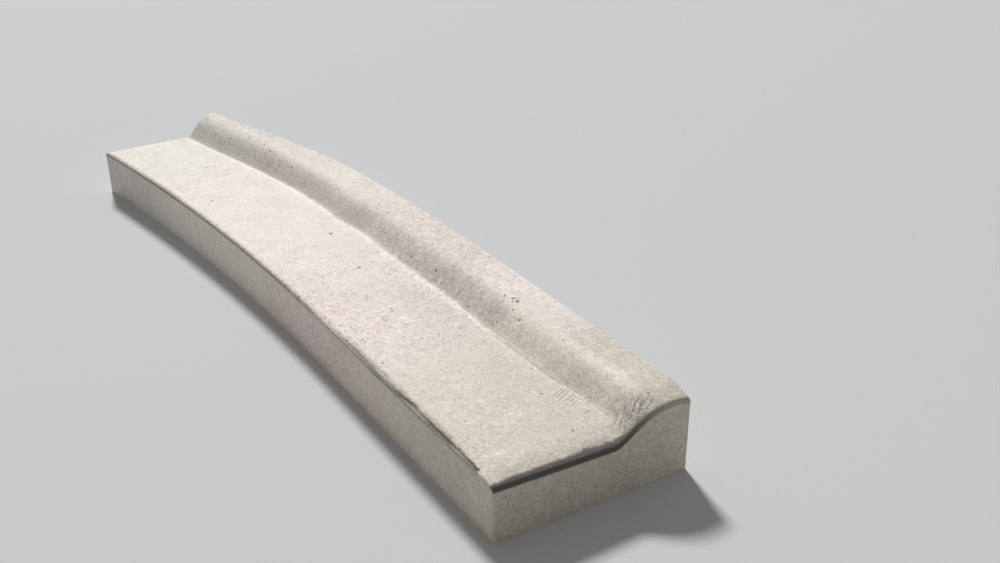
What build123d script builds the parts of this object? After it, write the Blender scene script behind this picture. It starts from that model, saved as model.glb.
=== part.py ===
from build123d import *
import os
from math import cos, sin

# Cast-in-place concrete rolled kerb with gutter, one length between two joints. Millimetres.
# +X runs towards the rounded joint, +Y towards the back of the kerb, +Z up.

# Plan: the front lip is straight from the rounded joint, then bends forwards.
straight_length = 1020.0
bend_length = 1845.0
bend_radius = 11000.0

# Underside to the top of the front lip.
slab_depth = 175.0

# Tooled and formed edges.
joint_edge_radius = 12.0
lip_edge_radius = 6.0
back_edge_radius = 5.0

# Rounded joint: the roll is drawn out wider over a short easing.
easing_length = 90.0
joint_width = 610.0
joint_pan = 363.0
joint_fall = 12.0
joint_rise = 73.0
joint_roll = 188.0
joint_crown = 8.0

# Full section, kept from the easing to the taper.
full_width = 620.0
full_pan = 408.0
full_fall = 11.0
full_rise = 72.0
full_roll = 99.0
full_crown = 1.0

# Inlet joint, the other end: the kerb narrows, its roll widens and its gutter drops.
taper_length = 940.0
inlet_width = 516.0
inlet_pan = 362.0
inlet_fall = 18.0
inlet_rise = 83.0
inlet_roll = 140.0
inlet_crown = -3.0

# Rolled face: the shares of its width over which the pan and the crest hold their direction.
foot_share = 0.23
shoulder_share = 0.54

length = straight_length + bend_length


def ease(value):
    """Smooth step between 0 and 1."""
    held = min(max(value, 0.0), 1.0)
    return held * held * (3.0 - 2.0 * held)


def blend(station, joint, full, inlet):
    """One size of the section at a distance from the rounded joint."""
    at_joint = 1.0 - ease(station / easing_length)
    at_inlet = ease(1.0 - (length - station) / taper_length)
    return full + (joint - full) * at_joint + (inlet - full) * at_inlet


def plane_at(station):
    """Upright plane across the kerb, its origin under the front lip."""
    turned = max(station - straight_length, 0.0) / bend_radius
    x = -min(station, straight_length) - bend_radius * sin(turned)
    y = -bend_radius * (1.0 - cos(turned))
    return Plane(origin=(x, y, 0), x_dir=(-sin(turned), cos(turned), 0), z_dir=(cos(turned), sin(turned), 0))


def section_at(station):
    """Outline of the kerb across its length: pan, rolled face in two curves, head, back and underside."""
    width = blend(station, joint_width, full_width, inlet_width)
    pan = blend(station, joint_pan, full_pan, inlet_pan)
    fall = blend(station, joint_fall, full_fall, inlet_fall)
    rise = blend(station, joint_rise, full_rise, inlet_rise)
    roll = blend(station, joint_roll, full_roll, inlet_roll)
    crown = blend(station, joint_crown, full_crown, inlet_crown)
    flow = slab_depth - fall
    crest = flow + rise
    floor = Line((0, slab_depth), (pan, flow))
    foot = Vector(pan, flow)
    low = Vector(pan + foot_share * roll, flow - fall * foot_share * roll / pan)
    high = Vector(pan + roll - shoulder_share * roll, crest)
    brow = Vector(pan + roll, crest)
    steepest = (foot + low * 3 + high * 3 + brow) / 8
    hollow = Bezier(foot, (foot + low) / 2, (foot + low * 2 + high) / 4, steepest)
    swell = Bezier(steepest, (low + high * 2 + brow) / 4, (high + brow) / 2, brow)
    third = (width - pan - roll) / 3
    ahead = Vector(pan + roll + third, crest)
    top = Bezier(brow, ahead, (width - third, crest - crown / 2), (width, crest - crown))
    sides = Polyline((width, crest - crown), (width, -slab_depth), (0, -slab_depth), (0, slab_depth))
    return plane_at(station) * make_face([floor, hollow, swell, top, sides])


# Sections are set evenly, close enough to follow the easing at the joint.
station_step = 70.0
station_count = round(length / station_step)
sections = [section_at(length * k / station_count) for k in range(station_count + 1)]

# The underside is struck off level on the bed.
kerb = split(loft(sections), bisect_by=Plane.XY, keep=Keep.TOP)

# The edge at the rounded joint is run with an edging tool, then the lip and the back.
joint_face = kerb.faces().sort_by(Axis.X)[-1]
joint_edges = joint_face.edges().filter_by(lambda edge: abs(edge.tangent_at(0.5).Y) > 0.5)
kerb = fillet(joint_edges.sort_by(Axis.Z)[1:], joint_edge_radius)
long_edges = kerb.edges().filter_by(lambda edge: edge.length > length * 0.8)
lip_edge = long_edges.sort_by(Axis.Y)[:2].sort_by(Axis.Z)[-1]
kerb = fillet(lip_edge, lip_edge_radius)
long_edges = kerb.edges().filter_by(lambda edge: edge.length > length * 0.8)
back_edge = long_edges.sort_by(Axis.Y)[-2:].sort_by(Axis.Z)[-1]
kerb = fillet(back_edge, back_edge_radius)

box = kerb.bounding_box()
kerb = Pos(-(box.min.X + box.max.X) / 2, -(box.min.Y + box.max.Y) / 2, 0) * kerb

os.makedirs("parts", exist_ok=True)
export_step(kerb, "parts/kerb.step")
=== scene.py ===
from math import cos, exp, hypot, pi, radians, sin, sqrt

import bmesh
import bpy
import numpy as np
from mathutils import Matrix, Vector, noise


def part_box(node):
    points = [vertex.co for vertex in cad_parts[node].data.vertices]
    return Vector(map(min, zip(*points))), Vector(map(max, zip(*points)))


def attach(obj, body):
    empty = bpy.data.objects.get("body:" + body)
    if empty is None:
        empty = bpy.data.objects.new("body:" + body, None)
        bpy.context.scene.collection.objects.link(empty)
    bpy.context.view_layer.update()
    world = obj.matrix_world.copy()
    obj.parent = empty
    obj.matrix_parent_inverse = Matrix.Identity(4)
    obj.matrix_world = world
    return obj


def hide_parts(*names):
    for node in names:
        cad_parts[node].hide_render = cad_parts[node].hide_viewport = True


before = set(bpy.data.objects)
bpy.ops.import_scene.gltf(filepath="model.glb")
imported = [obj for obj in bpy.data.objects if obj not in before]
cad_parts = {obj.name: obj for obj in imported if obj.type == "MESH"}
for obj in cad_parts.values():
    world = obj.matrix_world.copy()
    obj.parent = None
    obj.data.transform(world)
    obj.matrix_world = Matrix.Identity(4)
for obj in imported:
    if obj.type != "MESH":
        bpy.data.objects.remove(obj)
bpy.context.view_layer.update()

# The kerb's own sizes, in millimetres, as in the part's source.
# A station is a distance along it from the rounded joint, and across is measured from the front lip.
# The inlet joint is the other end, where the gutter drops.
STRAIGHT_LENGTH = 1020.0
BEND_LENGTH = 1845.0
BEND_RADIUS = 11000.0
SLAB_DEPTH = 175.0
EASING_LENGTH = 90.0
TAPER_LENGTH = 940.0
FOOT_SHARE = 0.23
SHOULDER_SHARE = 0.54
LENGTH = STRAIGHT_LENGTH + BEND_LENGTH
JOINT = {"width": 610.0, "pan": 363.0, "fall": 12.0, "rise": 73.0, "roll": 188.0, "crown": 8.0}
FULL = {"width": 620.0, "pan": 408.0, "fall": 11.0, "rise": 72.0, "roll": 99.0, "crown": 1.0}
INLET = {"width": 516.0, "pan": 362.0, "fall": 18.0, "rise": 83.0, "roll": 140.0, "crown": -3.0}
MM_PER_METRE = 1000.0

# Radii of the tooled edges.
JOINT_ROUND = 12.0
INLET_ROUND = 3.0
LIP_ROUND = 6.0
BACK_ROUND = 5.0

# How far the foot of the roll strays from its line: station and stray.
FOOT_STATIONS, FOOT_STRAYS = zip(
    (0, 0), (60, 12), (110, 18), (200, 21), (260, 17), (320, 9), (400, 1), (500, 1), (600, -4), (700, 3),
    (1000, 7), (1100, 1), (1400, 1), (1520, 6), (1600, 3), (1700, -7), (1800, 0), (2000, 4), (2300, 5),
    (2865, 8),
)
FOOT_SHAKE = 1.5
FOOT_SHAKE_LENGTH = 45.0

# The edging tool's groove inside the front lip: station and across.
GROOVE_STATIONS, GROOVE_PLACES = zip(
    (60, 6), (150, 9), (250, 9), (350, 8), (430, 12), (520, 6), (650, 4), (720, 9), (800, 9), (900, 6),
    (1100, 7),
)
GROOVE_SHAKE = 1.2
GROOVE_SHAKE_LENGTH = 40.0
GROOVE_PATCH_LENGTH = 110.0

# The thin ridge of paste at the foot of the roll: station and across.
RIDGE_STATIONS, RIDGE_PLACES = zip((90, 418), (180, 426), (250, 422), (420, 418), (560, 415), (660, 410))
RIDGE_SHAKE = 1.2
RIDGE_SHAKE_LENGTH = 60.0
RIDGE_PATCH_LENGTH = 35.0


def ease(value):
    """Smooth step between 0 and 1."""
    held = min(max(value, 0.0), 1.0)
    return held * held * (3.0 - 2.0 * held)


def fade(value, start, end):
    """0 before start and 1 after end, with a smooth step between them."""
    return ease((value - start) / (end - start))


def hill(value):
    """A rounded hill, 1 at the middle and close to nothing past 2 from it."""
    return exp(-value * value)


def wander(station, length, lane, level=0):
    """Smooth noise from -1 to 1 that changes along the kerb over a length. Each lane has its own."""
    return noise.noise(Vector((station / length, lane, level)))


def layered(spot, softness, layers=3, finer=2.0):
    """Smooth noise in layers, each finer than the last."""
    return noise.fractal(spot, softness, finer, layers)


def section_at(station):
    """Sizes of the kerb's section at a station, its foot as the trowel left it."""
    at_joint = 1.0 - ease(station / EASING_LENGTH)
    at_inlet = ease(1.0 - (LENGTH - station) / TAPER_LENGTH)
    size = {n: FULL[n] + (JOINT[n] - FULL[n]) * at_joint + (INLET[n] - FULL[n]) * at_inlet for n in FULL}
    strayed = float(np.interp(station, FOOT_STATIONS, FOOT_STRAYS))
    strayed += FOOT_SHAKE * wander(station, FOOT_SHAKE_LENGTH, 6)
    size["pan"] += strayed
    size["roll"] -= strayed
    return size


def bezier(first, second, third, fourth, t):
    """A value on a cubic curve."""
    s = 1.0 - t
    return s * s * s * first + 3 * s * s * t * second + 3 * s * t * t * third + t * t * t * fourth


# Shares of the rolled face's width, and where on its curve each lies.
CURVE_STEPS = 60
curve_steps = [k / CURVE_STEPS for k in range(CURVE_STEPS + 1)]
curve_shares = [bezier(0.0, FOOT_SHARE, 1.0 - SHOULDER_SHARE, 1.0, t) for t in curve_steps]


def struck_height(across, size):
    """Height of the struck surface: pan, rolled face and head."""
    flow = SLAB_DEPTH - size["fall"]
    crest = flow + size["rise"]
    if across <= size["pan"]:
        return SLAB_DEPTH - size["fall"] * across / size["pan"]
    if across <= size["pan"] + size["roll"]:
        t = float(np.interp((across - size["pan"]) / size["roll"], curve_shares, curve_steps))
        low = flow - size["fall"] * FOOT_SHARE * size["roll"] / size["pan"]
        return bezier(flow, low, crest, crest, t)
    head = size["width"] - size["pan"] - size["roll"]
    t = (across - size["pan"] - size["roll"]) / head
    return bezier(crest, crest, crest - size["crown"] / 2, crest - size["crown"], t)


def rounding(distance, radius):
    """How far a rounded edge drops at a distance in from the side face."""
    inside = max(radius - distance, 0.0)
    return radius - sqrt(max(radius * radius - inside * inside, 0.0))


def edge_drop(station, across, size):
    """How far the rounded edges drop the surface at a spot."""
    drop = rounding(station, JOINT_ROUND) + rounding(LENGTH - station, INLET_ROUND)
    drop += rounding(across, LIP_ROUND) + rounding(size["width"] - across, BACK_ROUND)
    return min(drop, JOINT_ROUND + LIP_ROUND)


def quarter_steps(radius, steps):
    """Distances in from a side face, spaced evenly round its quarter circle."""
    return [radius * (1.0 - cos(pi / 2 * k / steps)) for k in range(steps + 1)]


# Columns of the mesh along the kerb: joint round, near part, far part and inlet round.
JOINT_STEPS = 5
NEAR_COLUMNS = 200
FAR_COLUMNS = 292
INLET_STEPS = 2
COLUMNS = JOINT_STEPS + NEAR_COLUMNS + FAR_COLUMNS + INLET_STEPS
NEAR_END = 900.0
joint_quarter = quarter_steps(JOINT_ROUND, JOINT_STEPS)
inlet_quarter = quarter_steps(INLET_ROUND, INLET_STEPS)
far_start = JOINT_STEPS + NEAR_COLUMNS
far_end = far_start + FAR_COLUMNS
column_knots = list(range(JOINT_STEPS + 1)) + [far_start] + [far_end + k for k in range(INLET_STEPS + 1)]
column_places = joint_quarter + [NEAR_END] + [LENGTH - d for d in reversed(inlet_quarter)]

# Rows across it: lip round, margin, pan, foot, roll, head and back round.
LIP_STEPS = 4
MARGIN_ROWS = 10
PAN_ROWS = 60
FOOT_ROWS = 20
ROLL_ROWS = 28
HEAD_ROWS = 22
BACK_STEPS = 3
MARGIN = 26.0
FOOT_BELT = 20.0
row_belts = [int(b) for b in np.cumsum([LIP_STEPS, MARGIN_ROWS, PAN_ROWS, FOOT_ROWS, ROLL_ROWS, HEAD_ROWS])]
ROWS = row_belts[-1] + BACK_STEPS
lip_quarter = quarter_steps(LIP_ROUND, LIP_STEPS)
back_quarter = quarter_steps(BACK_ROUND, BACK_STEPS)
row_knots = list(range(LIP_STEPS + 1)) + row_belts[1:-1] + [row_belts[-1] + k for k in range(BACK_STEPS + 1)]


def row_places(size):
    """Distance across the kerb of each knot of the rows."""
    foot = [size["pan"] - FOOT_BELT, size["pan"] + FOOT_BELT]
    belts = [MARGIN] + foot + [size["pan"] + size["roll"]]
    return lip_quarter + belts + [size["width"] - d for d in reversed(back_quarter)]


# Small pits and pulled grains that show as dark spots: station, across, radius and depth.
PITS = [
    (1290, 270, 7.0, 3.0), (1591, 320, 7.5, 3.2), (675, 44, 4.0, 2.0), (922, 60, 4.0, 1.8),
    (611, 467, 4.5, 2.2), (1083, 446, 5.0, 2.2), (955, 216, 4.5, 1.6), (972, 222, 4.0, 1.4),
    (109, 311, 4.0, 2.0), (420, 494, 3.5, 1.4), (438, 396, 4.0, 1.6), (640, 362, 3.5, 1.4),
    (2110, 100, 6.0, 1.6), (665, 479, 4.0, 0.8), (751, 502, 4.5, 1.5), (167, 398, 4.0, 1.6),
    (307, 344, 4.0, 1.4), (1500, 505, 6.0, 1.6), (1580, 512, 5.0, 1.4), (2322, 468, 6.0, 1.8),
    (66, 520, 4.0, 1.6), (48, 480, 3.5, 1.4), (440, 18, 4.5, 1.8), (850, 215, 3.5, 1.2),
]
PIT_REACH = 2.2
PIT_STRETCH = 1.15
PIT_RAGGED = 0.35
PIT_CRUMB = 3.5

# Short strokes of the trowel: station and across of the middle, length, turn from across, depth.
STROKES = [
    (205, 396, 30, 30, 0.9), (220, 397, 34, 28, 1.1), (234, 398, 36, 26, 1.2), (248, 398, 38, 23, 1.4),
    (264, 390, 46, 28, 1.6), (280, 395, 38, 26, 1.2), (294, 398, 34, 28, 1.1), (308, 400, 24, 26, 0.7),
    (308, 542, 28, 20, 0.7), (320, 545, 38, 18, 1.0), (333, 549, 42, 20, 1.1), (346, 547, 38, 20, 1.0),
    (60, 430, 40, 30, 1.5), (72, 446, 44, 32, 1.7), (52, 462, 40, 34, 1.7), (40, 478, 40, 30, 1.5),
    (84, 432, 36, 30, 1.3), (30, 500, 36, 28, 1.3), (64, 486, 36, 32, 1.3), (46, 440, 30, 30, 1.3),
    (692, 512, 18, 8, 3.2), (703, 503, 16, 78, 3.0), (715, 511, 16, -20, 3.0), (702, 523, 14, 84, 2.4),
    (742, 497, 16, 35, 2.6), (728, 484, 16, 60, 2.2),
]
STROKE_REACH = 40.0
STROKE_WIDTH = 2.4
STROKE_BURR = 0.8
BURR_PLACE = 5.5
FADE_INSIDE = 5.0
FADE_OUTSIDE = 3.0
STROKE_DIRT = 0.24
DIRT_WIDTH = 2.0

# How high or deep the other marks of hand finishing are, in millimetres.
WAVE_HEIGHT = 0.8
GRIT_HEIGHT = 0.16
PRESSED_PAN = 4.0
PRESSED_HEAD = 1.0
BROW_SWING = 0.9
FAR_BROW_SWING = 0.8
FOOT_DIP = 1.0
DRAG_HEIGHT = 1.3
GROOVE_DEPTH = 3.0
CRUMB_HEIGHT = 1.2
LIP_DROP = 0.5
RIDGE_HEIGHT = 0.8
NICK_DEPTH = 0.5
FORMED_DEPTH = 0.8
FORMED_LEVEL = 0.7

# How wide they are, where they lie, and the lengths over which they change.
WAVE_LENGTH = 240.0
GRIT_LENGTH = 11.0
PRESSED_REACH = 60.0
BROW_SHARE = 0.62
BROW_WIDTH = 32.0
BROW_LENGTH = 105.0
DIP_PLACE = 2.0
DIP_SHAKE = 3.0
DIP_WIDTH = 10.0
DIP_SHAKE_LENGTH = 20.0
DIP_PATCH_LENGTH = 28.0
DRAG_REACH = 70.0
DRAG_SHARE = 0.6
DRAG_LENGTH = 14.0
DRAG_WIDTH = 8.0
GROOVE_WIDTH = 4.2
CRUMB_LENGTH = 7.0
RIDGE_WIDTH = 3.0
NICK_PLACE = 5.0
FORMED_LENGTH = 45.0

# Stations where they start and end.
GROOVE_STARTS = (70, 84)
GROOVE_THINS = (450, 550)
GROOVE_ENDS = (760, 1060)
RIDGE_STARTS = (90, 210)
RIDGE_ENDS = (640, 720)
BROW_WIDENS = (400, 800)
DIP_STARTS = (40, 120)


def lip_groove(station):
    """Across of the groove that the edging tool left along the front lip, and how strong it is there."""
    across = float(np.interp(station, GROOVE_STATIONS, GROOVE_PLACES))
    across += GROOVE_SHAKE * wander(station, GROOVE_SHAKE_LENGTH, 7)
    strength = fade(station, *GROOVE_STARTS) * (0.95 + 0.5 * wander(station, GROOVE_PATCH_LENGTH, 2, 5))
    kept = 1.0 - 0.35 * fade(station, *GROOVE_THINS) - 0.65 * fade(station, *GROOVE_ENDS)
    return across, min(max(strength * kept, 0.0), 1.0)


def foot_ridge(station):
    """Across of the thin ridge of paste at the foot of the roll, and how strong it is there."""
    across = float(np.interp(station, RIDGE_STATIONS, RIDGE_PLACES))
    across += RIDGE_SHAKE * wander(station, RIDGE_SHAKE_LENGTH, 1, 9)
    strength = fade(station, *RIDGE_STARTS) * (1.0 - fade(station, *RIDGE_ENDS))
    return across, strength * (0.8 + 0.4 * wander(station, RIDGE_PATCH_LENGTH, 3))


def floated(spot):
    """Waves and grit that the float left all over."""
    waves = WAVE_HEIGHT * (layered(spot / WAVE_LENGTH, 1.0) - 1.0)
    return waves + GRIT_HEIGHT * layered(spot / GRIT_LENGTH, 0.7)


def pressed(station, across, size):
    """How far the edging tool pressed the surface down at the rounded joint."""
    up = fade(across, size["pan"], size["pan"] + size["roll"])
    return (PRESSED_PAN - (PRESSED_PAN - PRESSED_HEAD) * up) * (1.0 - ease(station / PRESSED_REACH))


def brow_swing(station, across, size):
    """How the trowel rode up and down along the brow of the roll."""
    brow = size["pan"] + BROW_SHARE * size["roll"]
    swing = BROW_SWING + FAR_BROW_SWING * fade(station, *BROW_WIDENS)
    return swing * wander(station, BROW_LENGTH, 4) * hill((across - brow) / BROW_WIDTH)


def foot_dip(station, across, size):
    """Depth of the shallow dip that the trowel's corner left along the foot of the roll."""
    kept = fade(station, *DIP_STARTS) * (0.75 + 0.6 * wander(station, DIP_PATCH_LENGTH, 8))
    middle = size["pan"] + DIP_PLACE - DIP_SHAKE * wander(station, DIP_SHAKE_LENGTH, 5)
    return FOOT_DIP * kept * hill((across - middle) / DIP_WIDTH)


def joint_drags(station, across, size):
    """Rough drags where the edging tool was pulled up the roll beside the joint."""
    middle = size["pan"] + size["roll"] / 2
    kept = hill(station / DRAG_REACH) * hill((across - middle) / (DRAG_SHARE * size["roll"]))
    slanted = Vector((station / DRAG_WIDTH, (across + station) / DRAG_LENGTH, 3.0))
    return DRAG_HEIGHT * kept * layered(slanted, 0.8, 2)


def groove_cut(station, across, spot):
    """Height that the groove takes away, with the crumbly strip between it and the lip."""
    line, strength = lip_groove(station)
    height = -GROOVE_DEPTH * strength * hill((across - line) / GROOVE_WIDTH)
    if across < line and station > GROOVE_STATIONS[0]:
        height += CRUMB_HEIGHT * strength * noise.noise(spot / CRUMB_LENGTH) - LIP_DROP * strength
    return height


def ridge_lift(station, across):
    """Height of the ridge at the foot of the roll, less the nick in front of it."""
    line, strength = foot_ridge(station)
    ridge = RIDGE_HEIGHT * hill((across - line) / RIDGE_WIDTH)
    nick = NICK_DEPTH * hill((across - line + NICK_PLACE) / RIDGE_WIDTH)
    return strength * (ridge - nick)


def pits_at(station, across, spot):
    """Depth of the pits at a spot, and how dirty they are."""
    depth = 0.0
    dirt = 0.0
    for place, side, radius, deepest in PITS:
        away = hypot(station - place, (across - side) * PIT_STRETCH)
        if away < radius * PIT_REACH:
            ragged = 1.0 + PIT_RAGGED * noise.noise(spot / PIT_CRUMB)
            hole = hill((away / radius * ragged) ** 2)
            depth += deepest * hole
            dirt = max(dirt, hole)
    return depth, dirt


def strokes_at(station, across):
    """Depth of the trowel's strokes at a spot, less the burr beside each, and how dirty they are."""
    depth = 0.0
    dirt = 0.0
    for place, side, long, turn, deepest in STROKES:
        ahead = station - place
        aside = across - side
        if abs(ahead) < STROKE_REACH and abs(aside) < STROKE_REACH:
            along = aside * cos(radians(turn)) + ahead * sin(radians(turn))
            beside = ahead * cos(radians(turn)) - aside * sin(radians(turn))
            shape = hill(beside / STROKE_WIDTH) - STROKE_BURR * hill((beside - BURR_PLACE) / STROKE_WIDTH)
            kept = 1.0 - fade(abs(along), long / 2 - FADE_INSIDE, long / 2 + FADE_OUTSIDE)
            depth += deepest * shape * kept
            dirt = max(dirt, STROKE_DIRT * deepest * kept * hill(beside / DIRT_WIDTH))
    return depth, dirt


def relief(station, across, size):
    """Height that hand finishing added to or took from the struck surface, and the dirt in it."""
    spot = Vector((station, across, 0.0))
    height = floated(spot) - pressed(station, across, size)
    height += brow_swing(station, across, size) - foot_dip(station, across, size)
    height += joint_drags(station, across, size)
    height += groove_cut(station, across, spot) + ridge_lift(station, across)
    pit_depth, pit_dirt = pits_at(station, across, spot)
    stroke_depth, stroke_dirt = strokes_at(station, across)
    return height - pit_depth - stroke_depth, max(pit_dirt, stroke_dirt)


def stand_back(station, across, below):
    """How far a side face stands back from the formed outline."""
    cast = layered(Vector((station, across, below)) / FORMED_LENGTH, 0.9, 4, 2.1)
    return FORMED_DEPTH * max(cast + FORMED_LEVEL, 0.0)


low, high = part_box("kerb")
bend_angle = BEND_LENGTH / BEND_RADIUS
path_start = Vector((high.x, low.y + BEND_RADIUS * (1.0 - cos(bend_angle)) / MM_PER_METRE, 0.0))


def path_point(station, across, height):
    """A point of the kerb in the row frame, in metres."""
    turned = max(station - STRAIGHT_LENGTH, 0.0) / BEND_RADIUS
    x = -min(station, STRAIGHT_LENGTH) - (BEND_RADIUS + across) * sin(turned)
    y = across * cos(turned) - BEND_RADIUS * (1.0 - cos(turned))
    return Vector((x, y, height)) / MM_PER_METRE + path_start


# The side walls are let down in this many levels. Their top and bottom edges keep the formed outline.
WALL_LEVELS = 7
EDGE_LEVEL = 0.001

# The rounded joint's end face stands back by this share of what the other sides do.
JOINT_FACE_SHARE = 0.6

# Faces are divided within this many radii of a pit, and this share of a stroke's length.
PIT_FINE = 1.9
STROKE_FINE = 0.62


def refine_marks(bm):
    """Divides the grid where pits and trowel strokes need finer faces."""
    spots = [(station, across, radius * PIT_FINE) for station, across, radius, depth in PITS]
    spots += [(station, across, long * STROKE_FINE) for station, across, long, turn, depth in STROKES]
    places = []
    for place, side, reach in spots:
        column = np.interp([place - reach, place, place + reach], column_places, column_knots)
        row = np.interp([side - reach, side, side + reach], row_places(section_at(place)), row_knots)
        places.append((column[1], row[1], (column[2] - column[0]) / 2, (row[2] - row[0]) / 2))
    wanted = set()
    for face in bm.faces:
        centre = face.calc_center_median()
        if any(hypot((centre.x - c) / rc, (centre.y - r) / rr) < 1 for c, r, rc, rr in places):
            wanted.update(e for e in face.edges if not e.is_boundary)
    bmesh.ops.subdivide_edges(bm, edges=list(wanted), cuts=1, use_grid_fill=True)


def make_top(bm):
    """The top as a grid of columns and rows, finer at the small marks."""
    bmesh.ops.create_grid(bm, x_segments=COLUMNS, y_segments=ROWS, size=0.5)
    bmesh.ops.scale(bm, vec=(COLUMNS, ROWS, 1), verts=bm.verts)
    bmesh.ops.translate(bm, vec=(COLUMNS / 2, ROWS / 2, 0), verts=bm.verts)
    refine_marks(bm)


def let_down_walls(bm):
    """Walls from the top's rim down to level -1, and one sharp-edged face under them."""
    rim = [e for e in bm.edges if e.is_boundary]
    for level in range(WALL_LEVELS):
        let_down = bmesh.ops.extrude_edge_only(bm, edges=rim)["geom"]
        verts = [g for g in let_down if isinstance(g, bmesh.types.BMVert)]
        bmesh.ops.translate(bm, vec=(0, 0, -1 / WALL_LEVELS), verts=verts)
        rim = [g for g in let_down if isinstance(g, bmesh.types.BMEdge) and g.is_boundary]
    for edge in rim:
        edge.smooth = False
    bmesh.ops.contextual_create(bm, geom=rim)


def lay_out(bm):
    """Moves each point from its column, row and level to its place, and stores what the concrete needs."""
    laid = bm.verts.layers.float_vector.new("laid")
    seams = bm.verts.layers.float_vector.new("seams")
    marks = bm.verts.layers.float_vector.new("marks")
    for vert in bm.verts:
        column, row, level = vert.co
        station = float(np.interp(column, column_knots, column_places))
        size = section_at(station)
        across = float(np.interp(row, row_knots, row_places(size)))
        finish_height, dirt = relief(station, across, size)
        height = struck_height(across, size) - edge_drop(station, across, size) + finish_height
        below = -level * height
        ridge, ridge_strength = foot_ridge(station)
        groove, groove_strength = lip_groove(station)
        vert[laid] = Vector((station, across, below)) / MM_PER_METRE
        vert[seams] = Vector((across - ridge, across - groove, across - size["pan"])) / MM_PER_METRE
        vert[marks] = Vector((ridge_strength, groove_strength, dirt))
        on_edge = level > -EDGE_LEVEL or level < EDGE_LEVEL - 1.0
        back = 0.0 if on_edge else stand_back(station, across, below)
        if row <= 0:
            across += back
        elif row >= ROWS:
            across -= back
        if column <= 0:
            station += back * JOINT_FACE_SHARE
        elif column >= COLUMNS:
            station -= back
        vert.co = path_point(station, across, height - below)


def make_kerb():
    """The kerb as one closed shell: a fine top grid, walls let down from its rim and a flat underside."""
    bm = bmesh.new()
    make_top(bm)
    let_down_walls(bm)
    lay_out(bm)
    bmesh.ops.recalc_face_normals(bm, faces=bm.faces)
    for face in bm.faces:
        face.smooth = True
    mesh = bpy.data.meshes.new("kerb_concrete")
    bm.to_mesh(mesh)
    bm.free()
    kerb = bpy.data.objects.new("kerb_concrete", mesh)
    bpy.context.scene.collection.objects.link(kerb)
    return kerb


class Socket:
    """An output of a finish, on which arithmetic adds Math nodes."""

    def __init__(self, finish, output):
        self.finish = finish
        self.output = output

    def maths(self, operation, first, second=0.0):
        """One Math node on values or links."""
        return self.finish.add("ShaderNodeMath", {"operation": operation}, {0: first, 1: second})

    def __add__(self, other):
        return self.maths("ADD", self, other)

    def __sub__(self, other):
        return self.maths("SUBTRACT", self, other)

    def __rsub__(self, other):
        return self.maths("SUBTRACT", other, self)

    def __mul__(self, other):
        return self.maths("MULTIPLY", self, other)

    def __truediv__(self, other):
        return self.maths("DIVIDE", self, other)

    def __abs__(self):
        return self.maths("ABSOLUTE", self)

    __radd__ = __add__
    __rmul__ = __mul__


# The sockets of a Mix node that mixes colours.
MIX_FACTOR = 0
MIX_UNDER = 6
MIX_OVER = 7
MIX_RESULT = 2


class Finish:
    """A material made node by node."""

    def __init__(self, name):
        self.material = bpy.data.materials.new(name)
        self.material.use_nodes = True
        self.tree = self.material.node_tree
        self.tree.nodes.clear()

    def add(self, kind, settings=None, sockets=None, outlet=0):
        """One node, its settings first and then its sockets, given as values or links."""
        node = self.tree.nodes.new(kind)
        for name, value in (settings or {}).items():
            setattr(node, name, value)
        for name, value in (sockets or {}).items():
            if isinstance(value, Socket):
                self.tree.links.new(value.output, node.inputs[name])
            else:
                node.inputs[name].default_value = value
        return Socket(self, node.outputs[outlet])

    def grain(self, place, scale, detail, roughness, distortion=0.0):
        """Noise from 0 to 1."""
        sockets = {"Vector": place, "Scale": scale, "Detail": detail}
        sockets.update({"Roughness": roughness, "Distortion": distortion})
        return self.add("ShaderNodeTexNoise", {}, sockets)

    def between(self, value, start, end):
        """0 before start and 1 after end, with a smooth step between them."""
        settings = {"interpolation_type": "SMOOTHSTEP"}
        return self.add("ShaderNodeMapRange", settings, {"Value": value, "From Min": start, "From Max": end})

    def belt(self, value, rise, fall):
        """1 on a belt, which begins over one stretch and ends over another."""
        return self.between(value, *rise) * (1 - self.between(value, *fall))

    def tint(self, mask, strength, under, over):
        """One colour over another, by a mask and how strong it is."""
        settings = {"data_type": "RGBA", "clamp_factor": True}
        sockets = {MIX_FACTOR: mask * strength, MIX_UNDER: under, MIX_OVER: over}
        return self.add("ShaderNodeMix", settings, sockets, MIX_RESULT)

    def join(self, x, y, z=0.0):
        """A place from three numbers."""
        return self.add("ShaderNodeCombineXYZ", {}, {"X": x, "Y": y, "Z": z})

    def split(self, place):
        """The three numbers of a place."""
        return [self.add("ShaderNodeSeparateXYZ", {}, {"Vector": place}, axis) for axis in "XYZ"]

    def stored(self, name):
        """The three numbers that the mesh keeps under a name."""
        return self.split(self.add("ShaderNodeAttribute", {"attribute_name": name}, {}, "Vector"))

    def output(self, shader):
        """Ends the material in a shader."""
        node = self.tree.nodes.new("ShaderNodeOutputMaterial")
        self.tree.links.new(shader.output, node.inputs["Surface"])
        return self.material


def linear(red, green, blue):
    """A colour given as 0 to 255, in the linear values that a node takes."""
    return tuple(((c / 255 + 0.055) / 1.055) ** 2.4 for c in (red, green, blue)) + (1.0,)


# Colours of the paste, and of the shade and highlights painted on it.
PALE_PASTE = linear(239, 230, 220)
NEAR_PASTE = linear(217, 208, 193)
PINK_PASTE = linear(234, 219, 212)
INLET_PASTE = linear(229, 225, 216)
FORMED_PASTE = linear(204, 199, 189)
DULL_BLOTCH = linear(212, 206, 194)
BRIGHT_BLOTCH = linear(243, 237, 227)
PAINTED_PAN_SHADE = linear(192, 186, 174)
BLEACHED_HEAD = linear(244, 236, 231)
SMOOTH_ROLL = linear(238, 231, 217)
FOOT_PASTE_AND_HIGHLIGHT = linear(246, 240, 229)
RIDGE_HIGHLIGHT = linear(244, 238, 226)
CLEAN_PASTE = linear(236, 229, 216)
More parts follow.
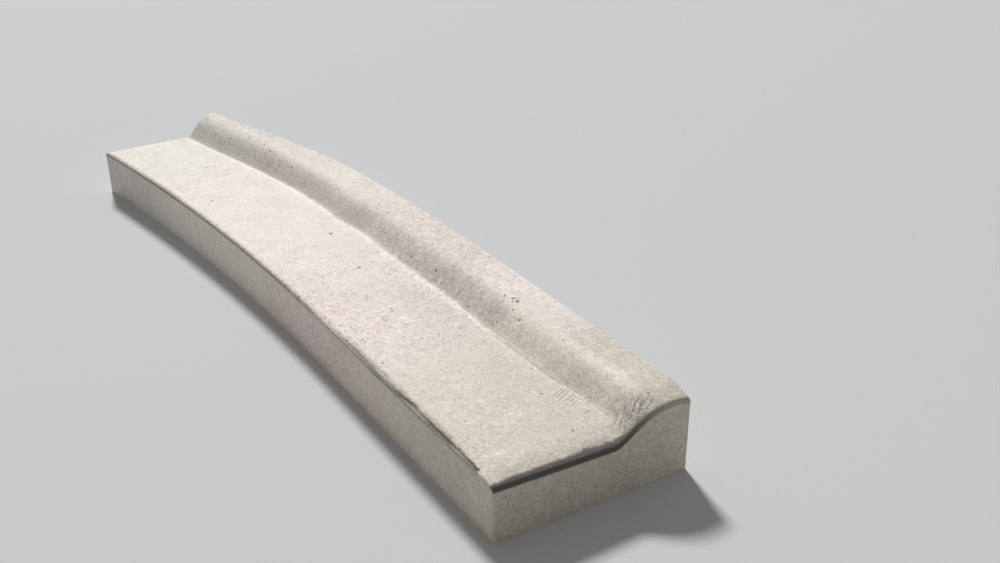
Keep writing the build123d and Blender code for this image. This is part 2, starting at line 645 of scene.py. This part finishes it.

# Colours of its stains and hollows, and of the shade and shadow painted on it.
PAINTED_SHADE = linear(170, 162, 150)
LIP_GREY = linear(156, 151, 140)
LIP_EDGE_SHADOW = linear(122, 117, 107)
DAMP_AND_SHADED_PASTE = linear(152, 146, 135)
PAN_SOIL_AND_SHADE = linear(90, 86, 78)
HEAD_SOIL_AND_SHADE = linear(188, 181, 169)
PAINTED_LINE_SHADE = linear(140, 133, 121)
GROOVE_SOIL_AND_SHADE = linear(88, 82, 73)
PIT_SOIL = linear(98, 90, 78)
PINHOLE = linear(118, 111, 99)

# How much one step of shade adds to red, green and blue.
SHADE_STEP = (0.68, 0.64, 0.58)

# Noises of the concrete: scale, detail and roughness, and distortion where a tool drew the paste out.
CLOUDS = (2.6, 3.0, 0.55)
BLOTCHES = (11.0, 4.0, 0.62)
MOTTLE = (45.0, 3.0, 0.6)
SAND = (120.0, 5.0, 0.82)
DRAWN = (1.0, 2.0, 0.6, 0.3)
CRUMBS = (1.0, 3.0, 0.7, 0.6)
TROWELLED = (1.0, 3.0, 0.6, 0.2)

# Stations, in metres. Here and below, each pair says where a change starts and where it is full.
NEAR_PART = (1.25, 0.05)
MIDDLE_START = (0.55, 0.95)
MIDDLE_END = (1.15, 1.60)
INLET_PART = (2.0, 2.8)
PAN_SHADE_END = (0.9, 1.9)
BLEACH_START = (0.35, 0.60)
BLEACH_END = (0.85, 1.10)
HEAD_SHADE = (0.9, 1.1)
FAR_HEAD_SHADE = (1.8, 2.1)
SMOOTH_START = (0.05, 0.18)
SMOOTH_END = (0.55, 0.75)
ROLL_SHADE = (0.62, 0.72)
BEND_SHADE = (1.30, 1.95)
INLET_SHADE = (2.05, 2.30)
FOOT_LIGHT = (0.06, 0.16)
STRONG_FOOT_LIGHT = (0.60, 0.75)
DAMP_AND_SHADE_END = (0.02, 0.12)
SOIL_AND_SHADE_END = (0.008, 0.022)
LIP_WEAR_START = (0.12, 0.25)
LIP_WEAR_END = (0.85, 1.00)
NEAR_GREY = (0.95, 0.70)
INLET_GREY = (2.00, 2.35)
GREY_START = (0.06, 0.13)
EDGE_SHADOW_START = (0.9, 1.2)
EDGE_SHADOW_THINS = (2.45, 2.60)
CORNER_LENGTH = (0.065, 0.090)
DRAG_END = (0.05, 0.16)
GRAIN_FADES = (1.1, 2.2)
ROLL_HOLES = (0.55, 0.85)
WIDE_HOLES = (0.5, 0.8)

# Distances across, in metres.
UPPER_PAN = (0.18, 0.36)
HEAD = (0.47, 0.52)
SOIL_AND_SHADE_WIDENS = (0.015, 0.060)
SOIL_AND_SHADE_WIDENS_AGAIN = (0.15, 0.30)
SOIL_AND_SHADE_NARROWS = (0.38, 0.43)
SOIL_AND_SHADE_PALES = (0.37, 0.56)
TURN_START = (0.39, 0.42)
TURN_END = (0.455, 0.495)
BRIM = (0.004, 0.028)
ARRIS = (0.004, 0.014)
CORNER_WIDTH = (0.020, 0.045)
SEAM_START = (0.16, 0.22)
SEAM_END = (0.32, 0.37)
DRAG_START = (0.37, 0.40)
UPPER_PART = (0.40, 0.44)
SPATTER = (0.03, 0.13)

# Distances from the foot of the roll, down from the top, and from the float seam and the tooled lines.
ROLL_START = (0.004, 0.012)
ROLL_END = (0.045, 0.085)
SMOOTH_TOP = (0.08, 0.12)
LIGHT_START = (-0.022, -0.006)
LIGHT_END = (0.0, 0.006)
TOP_EDGE = (0.0, 0.006)
SEAM_EDGE = (0.001, 0.005)
GROOVE_EDGE = (0.0022, 0.0085)
HAIRLINE_EDGE = (0.0006, 0.0022)
CREST_EDGE = (0.0010, 0.0032)

# Which part of a noise, of the dirt or of a hole's cell shows as a mark.
PINK_CLOUDS = (0.38, 0.58)
HOLE_CLOUDS = (0.50, 0.66)
DULL_BLOTCHES = (0.48, 0.70)
BRIGHT_BLOTCHES = (0.50, 0.30)
FOOT_PATCHES = (0.36, 0.54)
HAIRLINE_PATCHES = (0.34, 0.50)
DIRTY_PITS = (0.28, 0.60)
HOLE_CHANCE = (0.02, -0.02)
AIR_HOLES = (0.06, 0.10)

# The painted shade line along the float seam across the pan: its station at the lip, and how far it leans.
SEAM_STATION = 0.667
SEAM_LEAN = 0.11

# The painted shadow line runs this far in front of the ridge.
HAIRLINE_PLACE = 0.0042

# How far the edges of stains wave, the soil and painted shade of the joint reach in on the pan, the grey of
# the worn lip reaches in, and the sides of the groove wander.
WAVE_REACH = 0.03
SOIL_AND_SHADE_REACH = 0.011
LIP_WEAR = 0.008
GROOVE_RAGGED = 0.008

# Cells of the pinholes and of the air holes in a metre, and the depth of the bump.
PINHOLE_SCALE = 52.0
AIR_HOLE_SCALE = 30.0
BUMP_DEPTH = 0.0013


class Concrete(Finish):
    """The kerb's concrete: where each spot lies, and the grain and belts that its marks share."""

    def __init__(self, name):
        super().__init__(name)
        self.place = self.add("ShaderNodeTexCoord", {}, {}, "Object")
        self.station, self.across, below = self.stored("laid")
        self.from_ridge, self.from_groove, self.from_foot = self.stored("seams")
        self.ridge, self.groove, self.dirt = self.stored("marks")
        self.top = 1 - self.between(below, *TOP_EDGE)
        self.mix_grain()
        self.mark_belts()

    def mix_grain(self):
        """Noises from coarse to fine, and those that the tools drew out."""
        station, across = self.station, self.across
        self.clouds = self.grain(self.place, *CLOUDS)
        self.blotches = self.grain(self.place, *BLOTCHES)
        self.mottle = self.grain(self.place, *MOTTLE)
        self.sand = self.grain(self.place, *SAND)
        self.drawn = self.grain(self.join(station * 85 + across * 30, across * 10), *DRAWN)
        self.crumbs = self.grain(self.join(station * 260, across * 130 + station * 60), *CRUMBS)
        self.trowelled = self.grain(self.join(station * 7 + across * 5, across * 120), *TROWELLED)
        self.wave = (self.mottle - 0.5) * WAVE_REACH + (self.blotches - 0.5) * WAVE_REACH

    def mark_belts(self):
        """The middle of the kerb, its rolled face, the dragged end of that, and the groove."""
        self.middle = self.belt(self.station, MIDDLE_START, MIDDLE_END)
        self.rolled = self.top * self.belt(self.from_foot, ROLL_START, ROLL_END)
        self.dragged = self.top * self.between(self.across, *DRAG_START)
        self.dragged = self.dragged * (1 - self.between(self.station, *DRAG_END))
        away = abs(self.from_groove + (self.mottle - 0.5) * GROOVE_RAGGED)
        self.line = self.top * (1 - self.between(away, *GROOVE_EDGE)) * self.groove


def plain_paste(mix):
    """Paste in clouds and blotches: greyer near the joint, pinker in the middle and cooler at the inlet."""
    inlet = mix.between(mix.station, *INLET_PART)
    paste = mix.tint(mix.between(mix.station, *NEAR_PART), 1.0, PALE_PASTE, NEAR_PASTE)
    paste = mix.tint(mix.middle * mix.between(mix.clouds, *PINK_CLOUDS), 0.7, paste, PINK_PASTE)
    paste = mix.tint(inlet, 1.0, paste, INLET_PASTE)
    paste = mix.tint((1 - mix.top) * inlet, 0.6, paste, FORMED_PASTE)
    paste = mix.tint(mix.between(mix.blotches, *DULL_BLOTCHES), 0.3, paste, DULL_BLOTCH)
    return mix.tint(mix.between(mix.blotches, *BRIGHT_BLOTCHES), 0.3, paste, BRIGHT_BLOTCH)


def shaded_pan_and_head(mix, paste):
    """The pan is painted darker towards the roll, as shade where it tilts away from the lamp. The head is
    bleached near the joint and painted darker beyond, as shade.
    """
    upper_pan = mix.between(mix.across, *UPPER_PAN) * (1 - 0.8 * mix.between(mix.station, *PAN_SHADE_END))
    # Painted shade on the upper pan, which tilts away from the lamp.
    paste = mix.tint(mix.top * upper_pan, 0.3, paste, PAINTED_PAN_SHADE)
    head = mix.top * mix.between(mix.across, *HEAD)
    paste = mix.tint(head * mix.belt(mix.station, BLEACH_START, BLEACH_END), 0.5, paste, BLEACHED_HEAD)
    # Painted shade darkens the head beyond the middle, more so towards the inlet.
    painted_shade = 0.10 * mix.between(mix.station, *HEAD_SHADE) + 0.08 * mix.between(mix.station, *FAR_HEAD_SHADE)
    return mix.tint(head, painted_shade, paste, PAINTED_SHADE)


def trowelled_roll(mix, paste):
    """The roll is smooth and pale near the joint and painted darker beyond, as shade on a face turned from
    the lamp. Its foot has a strip of paler paste with a painted highlight.
    """
    smooth = mix.top * mix.belt(mix.from_foot, ROLL_START, SMOOTH_TOP)
    smooth = smooth * mix.belt(mix.station, SMOOTH_START, SMOOTH_END)
    paste = mix.tint(smooth, 0.85, paste, SMOOTH_ROLL)
    painted_shade = 0.09 * mix.between(mix.station, *ROLL_SHADE) + 0.24 * mix.between(mix.station, *BEND_SHADE)
    painted_shade = painted_shade + 0.08 * mix.between(mix.station, *INLET_SHADE)
    # Painted shade on the rolled face, which turns away from the lamp.
    paste = mix.tint(mix.rolled, painted_shade, paste, PAINTED_SHADE)
    # Paler paste along the foot of the roll, with a painted highlight on it.
    paste_and_highlight = mix.top * mix.belt(mix.from_foot, LIGHT_START, LIGHT_END)
    paste_and_highlight = paste_and_highlight * mix.between(mix.station, *FOOT_LIGHT) * mix.between(mix.mottle, *FOOT_PATCHES)
    paste_and_highlight = paste_and_highlight * (0.3 + 0.7 * mix.between(mix.station, *STRONG_FOOT_LIGHT))
    return mix.tint(paste_and_highlight, 0.6, paste, FOOT_PASTE_AND_HIGHLIGHT)


def grey_lip_and_shadow(mix, paste):
    """A grey band along the front lip, and a painted shadow on its very edge past the near part."""
    worn = mix.belt(mix.station, LIP_WEAR_START, LIP_WEAR_END)
    brim = mix.top * (1 - mix.between(mix.across + mix.wave * 0.4 - worn * LIP_WEAR, *BRIM))
    greyed = 0.45 + 0.35 * mix.between(mix.station, *NEAR_GREY)
    greyed = greyed + 0.35 * mix.between(mix.station, *INLET_GREY)
    greyed = greyed * (0.1 + 0.9 * mix.between(mix.station, *GREY_START))
    # Greyer along the lip, more so near the joint and at the inlet.
    paste = mix.tint(brim, greyed, paste, LIP_GREY)
    # Painted shadow along the very edge of the lip.
    arris = mix.top * (1 - mix.between(mix.across + mix.wave * 0.2, *ARRIS))
    arris = arris * mix.between(mix.station, *EDGE_SHADOW_START)
    return mix.tint(arris, 0.66 - 0.3 * mix.between(mix.station, *EDGE_SHADOW_THINS), paste, LIP_EDGE_SHADOW)


def damp_and_shaded_joint(mix, paste):
    """Damp paste and painted shade beside the joint, where the surface dips away from the lamp, darker where
    the roll turns out, and a clean corner at the lip.
    """
    damp_and_shade = mix.top * (1 - mix.between(mix.station + mix.wave, *DAMP_AND_SHADE_END))
    turned_out = mix.belt(mix.across, TURN_START, TURN_END)
    # Damp paste with painted shade, darkest on the rolled face.
    paste = mix.tint(damp_and_shade, 0.32 + 0.42 * turned_out, paste, DAMP_AND_SHADED_PASTE)
    corner = (1 - mix.between(mix.across, *CORNER_WIDTH)) * (1 - mix.between(mix.station, *CORNER_LENGTH))
    return mix.tint(mix.top * corner, 0.36, paste, CLEAN_PASTE)


def shaded_float_seam(mix, paste):
    """One faint painted shade line that leans across the pan, along a seam between passes of the float."""
    away = abs(mix.station - SEAM_STATION - mix.across * SEAM_LEAN + mix.wave * 0.3)
    seam_shade = mix.top * mix.belt(mix.across, SEAM_START, SEAM_END)
    # Painted shade along the seam.
    return mix.tint(seam_shade * (1 - mix.between(away, *SEAM_EDGE)), 0.25, paste, PAINTED_LINE_SHADE)


def shaded_grain(mix, paste):
    """Light and dark of sand, mottle and tool marks, added evenly whatever the colour under them."""
    grainy = 1.9 - 0.7 * mix.between(mix.station, *GRAIN_FADES) + 0.3 * mix.middle
    patchy = 0.3 + 0.4 * mix.middle + 0.35 * mix.top * mix.between(mix.across, *UPPER_PART)
    shade = 0.075 + grainy * (mix.sand - 0.5) + patchy * (mix.mottle - 0.5)
    shade = shade + 0.14 * mix.top * (mix.drawn - 0.5)
    shade = shade + mix.dragged * (1.3 * mix.crumbs - 0.62) + 0.30 * mix.rolled * (mix.trowelled - 0.5)
    sockets = {0: shade, 1: SHADE_STEP, 2: paste}
    return mix.add("ShaderNodeVectorMath", {"operation": "MULTIPLY_ADD"}, sockets)


def soiled_and_shaded_joint(mix, paste):
    """Dark soil and painted shade on the rounded joint, which turns away from the lamp; wider on the pan and
    paler on the head.
    """
    wide = 0.7 * mix.between(mix.across, *SOIL_AND_SHADE_WIDENS) + 0.3 * mix.between(mix.across, *SOIL_AND_SHADE_WIDENS_AGAIN)
    wide = wide * (1 - mix.between(mix.across, *SOIL_AND_SHADE_NARROWS))
    soil_and_shade = 1 - mix.between(mix.station + mix.wave * 0.5 - wide * SOIL_AND_SHADE_REACH, *SOIL_AND_SHADE_END)
    soil_and_shade_colour = mix.tint(mix.between(mix.across, *SOIL_AND_SHADE_PALES), 1.0, PAN_SOIL_AND_SHADE, HEAD_SOIL_AND_SHADE)
    # Soil and painted shade over the rounded joint.
    return mix.tint(soil_and_shade * (0.15 + 0.85 * mix.top), 0.92 + 0.12 * mix.sand, paste, soil_and_shade_colour)


def marked_lines(mix, paste):
    """Soil and painted shade in the groove, a painted shadow line before the ridge, a painted highlight on
    the ridge's crest, and dirt in the pits.
    """
    # Soil and painted shade in the tooled groove.
    paste = mix.tint(mix.line, 0.80 + 0.4 * mix.mottle, paste, GROOVE_SOIL_AND_SHADE)
    hairline = 1 - mix.between(abs(mix.from_ridge + HAIRLINE_PLACE), *HAIRLINE_EDGE)
    hairline = mix.top * mix.ridge * hairline * mix.between(mix.mottle, *HAIRLINE_PATCHES)
    # Painted shadow in front of the ridge, on the side turned from the lamp.
    paste = mix.tint(hairline, 0.5, paste, PAINTED_LINE_SHADE)
    crest = mix.top * mix.ridge * (1 - mix.between(abs(mix.from_ridge), *CREST_EDGE))
    # Painted highlight on the ridge's crest.
    paste = mix.tint(crest, 0.2, paste, RIDGE_HIGHLIGHT)
    return mix.tint(mix.between(mix.dirt + (mix.sand - 0.5) * 1.2, *DIRTY_PITS), 0.8, paste, PIT_SOIL)


def open_pinholes(mix):
    """Pinholes of mixed size in the top, scattered in clouds, and air holes in the formed faces."""
    flat = {"voronoi_dimensions": "2D"}
    spread = {"Vector": mix.join(mix.station, mix.across), "Scale": PINHOLE_SCALE}
    apart = mix.add("ShaderNodeTexVoronoi", flat, spread, "Distance")
    draw, bore = mix.split(mix.add("ShaderNodeTexVoronoi", flat, spread, "Color"))[:2]
    crowded = 0.03 + 0.12 * mix.between(mix.clouds, *HOLE_CLOUDS)
    crowded = crowded + 0.05 * mix.rolled * mix.between(mix.station, *ROLL_HOLES)
    crowded = crowded + 0.12 * mix.middle * (1 - mix.between(mix.across, *SPATTER))
    wider = 1 + 0.7 * mix.between(mix.station, *WIDE_HOLES)
    ragged = apart / wider + (mix.sand - 0.5) * 0.10
    opened = 1 - mix.between(ragged, 0.03 + 0.05 * bore, 0.07 + 0.07 * bore)
    pinholes = mix.top * opened * mix.between(draw - crowded, *HOLE_CHANCE) * (0.40 + 0.5 * bore)
    bubbles = mix.add("ShaderNodeTexVoronoi", {}, {"Vector": mix.place, "Scale": AIR_HOLE_SCALE}, "Distance")
    air_holes = (1 - mix.top) * (1 - mix.between(bubbles + (mix.sand - 0.5) * 0.05, *AIR_HOLES))
    return pinholes + air_holes * 0.6


def rough_surface(mix, pinholes):
    """Bump of the sand, the tool marks, the groove and the pinholes."""
    height = mix.sand * 3.0 + mix.mottle * 0.9 + mix.top * mix.drawn * 0.4 - pinholes * 1.4 - mix.line
    height = height + mix.dragged * mix.crumbs * 3.0 + mix.rolled * mix.trowelled * 0.8
    return mix.add("ShaderNodeBump", {}, {"Strength": 1.0, "Distance": BUMP_DEPTH, "Height": height})


def concrete():
    """Fresh floated concrete: pale paste full of sand, trowel marks, small pits and a dark tooled line."""
    mix = Concrete("floated_concrete")
    paste = plain_paste(mix)
    paste = shaded_pan_and_head(mix, paste)
    paste = trowelled_roll(mix, paste)
    paste = grey_lip_and_shadow(mix, paste)
    paste = damp_and_shaded_joint(mix, paste)
    paste = shaded_float_seam(mix, paste)
    paste = shaded_grain(mix, paste)
    paste = soiled_and_shaded_joint(mix, paste)
    paste = marked_lines(mix, paste)
    pinholes = open_pinholes(mix)
    paste = mix.tint(pinholes, 1.0, paste, PINHOLE)
    roughness = 0.62 + 0.2 * mix.blotches + 0.1 * mix.sand
    sockets = {"Base Color": paste, "Roughness": roughness, "Normal": rough_surface(mix, pinholes)}
    return mix.output(mix.add("ShaderNodeBsdfPrincipled", {}, sockets))


kerb = make_kerb()
kerb.data.materials.append(concrete())
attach(kerb, "root")
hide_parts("kerb")

# The studio: a matt floor, an even sky and one soft lamp.
FLOOR_SIZE = 30.0
FLOOR_COLOUR = linear(196, 197, 198)
FLOOR_ROUGHNESS = 0.9
SKY_COLOUR = (1.0, 1.0, 1.0, 1.0)
SKY_STRENGTH = 0.28
LAMP_TOWARD = (-0.74, 0.17, 0.65)
LAMP_STRENGTH = 3.5
LAMP_ANGLE = 9

# The photograph's viewpoint: place in metres, turns in degrees, lens and sensor in millimetres.
CAMERA_PLACE = (3.4503, -1.4349, 1.870)
CAMERA_YAW = 148.28
CAMERA_PITCH = 26.28
CAMERA_ROLL = 0.19
CAMERA_LENS = 42.34
CAMERA_SENSOR = 36.0


def floor_paint():
    """One even matt colour."""
    finish = Finish("floor_paint")
    sockets = {"Base Color": FLOOR_COLOUR, "Roughness": FLOOR_ROUGHNESS}
    return finish.output(finish.add("ShaderNodeBsdfPrincipled", {}, sockets))


def make_floor():
    """A level floor under the kerb, as part of the stage."""
    bm = bmesh.new()
    bmesh.ops.create_grid(bm, x_segments=1, y_segments=1, size=FLOOR_SIZE)
    mesh = bpy.data.meshes.new("floor")
    bm.to_mesh(mesh)
    bm.free()
    floor = bpy.data.objects.new("floor", mesh)
    mesh.materials.append(floor_paint())
    bpy.context.scene.collection.objects.link(floor)


def set_sky():
    """Even light from all round."""
    world = bpy.data.worlds.new("studio")
    world.use_nodes = True
    back = world.node_tree.nodes["Background"]
    back.inputs["Color"].default_value = SKY_COLOUR
    back.inputs["Strength"].default_value = SKY_STRENGTH
    bpy.context.scene.world = world


def set_lamp():
    """One soft lamp, high beyond the inlet end."""
    lamp = bpy.data.lights.new("key_lamp", "SUN")
    lamp.energy = LAMP_STRENGTH
    lamp.angle = radians(LAMP_ANGLE)
    lit = bpy.data.objects.new("key_lamp", lamp)
    lit.rotation_euler = Vector(LAMP_TOWARD).to_track_quat("Z", "Y").to_euler()
    bpy.context.scene.collection.objects.link(lit)


def set_camera():
    """The camera at the photograph's viewpoint, in front of the rounded joint."""
    yaw, pitch, roll = radians(CAMERA_YAW), radians(CAMERA_PITCH), radians(CAMERA_ROLL)
    forward = Vector((cos(yaw) * cos(pitch), sin(yaw) * cos(pitch), -sin(pitch)))
    side = forward.cross(Vector((0, 0, 1))).normalized()
    down = forward.cross(side)
    right = cos(roll) * side + sin(roll) * down
    up = sin(roll) * side - cos(roll) * down
    camera = bpy.data.objects.new("camera", bpy.data.cameras.new("camera"))
    turn = Matrix((right, up, -forward)).transposed().to_4x4()
    camera.matrix_world = Matrix.Translation(CAMERA_PLACE) @ turn
    camera.data.sensor_width = CAMERA_SENSOR
    camera.data.lens = CAMERA_LENS
    bpy.context.scene.collection.objects.link(camera)
    bpy.context.scene.camera = camera


make_floor()
set_sky()
set_lamp()
set_camera()
bpy.context.scene.view_settings.view_transform = "Standard"
